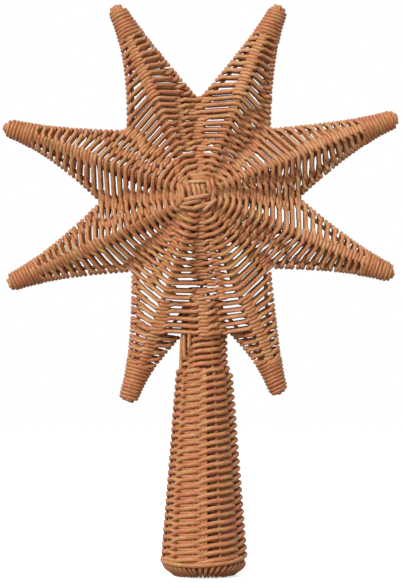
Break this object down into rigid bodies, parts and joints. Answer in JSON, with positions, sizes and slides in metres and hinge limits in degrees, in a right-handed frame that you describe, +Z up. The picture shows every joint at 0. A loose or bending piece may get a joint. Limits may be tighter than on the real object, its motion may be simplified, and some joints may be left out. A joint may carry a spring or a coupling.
{
  "type": "woven rattan star tree topper",
  "caption": "Hollow woven rattan star with ridged arms on a tapered open sleeve that slips over the top shoot of a tree.",
  "frame": {"origin": "on the floor plane under the middle of the whole piece, level with the rim's flat underside", "axes": "+Z up from the sleeve's rim to the top arms, +X to the right seen from the front, the front of the star faces -Y"},
  "size_m": [0.2218, 0.0552, 0.3177],
  "materials": {
    "rattan_reed": "honey-brown stained round rattan reed, satin, with fine lengthwise fibre",
    "binding_reed": "darker honey-brown rattan reed in tight bindings, satin"
  },
  "bodies": {
    "root": {"star_weave": "rattan_reed", "center_knot": "rattan_reed", "back_knot": "rattan_reed", "sleeve_weave": "rattan_reed", "rim_binding": "binding_reed", "tip_binding_1": "binding_reed", "tip_binding_2": "binding_reed", "tip_binding_3": "binding_reed", "tip_binding_4": "binding_reed", "tip_binding_5": "binding_reed", "tip_binding_6": "binding_reed", "tip_binding_7": "binding_reed", "tip_binding_8": "binding_reed"}
  },
  "joints": []
}
